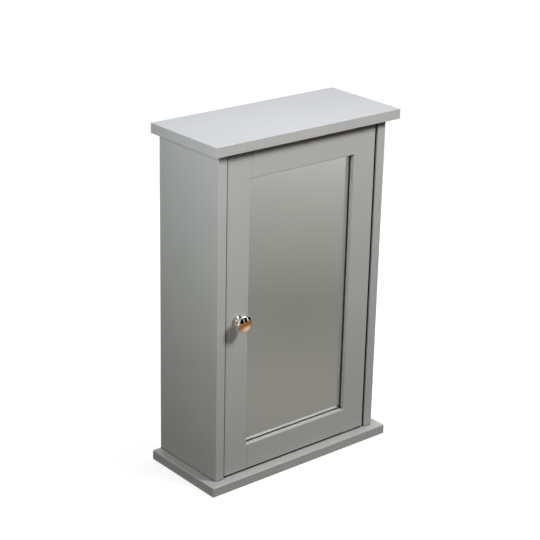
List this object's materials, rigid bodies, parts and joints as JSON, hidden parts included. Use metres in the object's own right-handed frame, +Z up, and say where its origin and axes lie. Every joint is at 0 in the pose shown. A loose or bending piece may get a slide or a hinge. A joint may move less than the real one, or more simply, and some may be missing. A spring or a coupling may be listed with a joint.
{
  "type": "mirror cabinet",
  "caption": "Small wall cabinet with shelves, overhanging cap and plinth boards, and an inset framed mirror door that turns on pivot hinges and closes on a magnetic catch.",
  "frame": {"origin": "middle of the plinth board's underside", "axes": "+Z up, -Y out of the door's front, +Y towards the wall, +X towards the door's hinge side"},
  "size_m": [0.34, 0.157, 0.53],
  "materials": {
    "paint": "satin grey paint on fibreboard",
    "hardboard": "bare hardboard",
    "bare_wood": "bare beech",
    "zinc": "zinc plated",
    "nylon": "white nylon",
    "magnet": "sintered ferrite",
    "mirror": "silvered float glass",
    "knob_chrome": "polished"
  },
  "bodies": {
    "cabinet": {"cap_board": "paint", "plinth_board": "paint", "left_side": "paint", "right_side": "paint", "back_panel": "hardboard", "hanging_rail": "bare_wood", "lower_shelf": "paint", "upper_shelf": "paint", "shelf_pins": "zinc", "case_dowels": "bare_wood", "rail_dowels": "bare_wood", "cam_bolts": "zinc", "cams": "zinc", "upper_case_leaf": "zinc", "lower_case_leaf": "zinc", "upper_hinge_pin": "zinc", "lower_hinge_pin": "zinc", "hinge_washers": "nylon", "case_hinge_screws": "zinc", "catch_housing": "nylon", "catch_magnet": "magnet", "catch_pole_plates": "zinc", "catch_screws": "zinc"},
    "door": {"knob_stile": "paint", "hinge_stile": "paint", "top_rail": "paint", "bottom_rail": "paint", "frame_dowels": "bare_wood", "mirror_pane": "mirror", "backing_board": "hardboard", "backing_screws": "zinc", "upper_door_leaf": "zinc", "lower_door_leaf": "zinc", "door_hinge_screws": "zinc", "knob": "knob_chrome", "knob_screw": "zinc", "strike_plate": "zinc", "strike_screws": "zinc"}
  },
  "joints": [
    {"name": "door_swing", "type": "hinge", "parent": "cabinet", "child": "door", "pos_m": [0.12756, -0.052, 0.264], "axis": [0, 0, 1], "range_deg": [0, 105]}
  ]
}
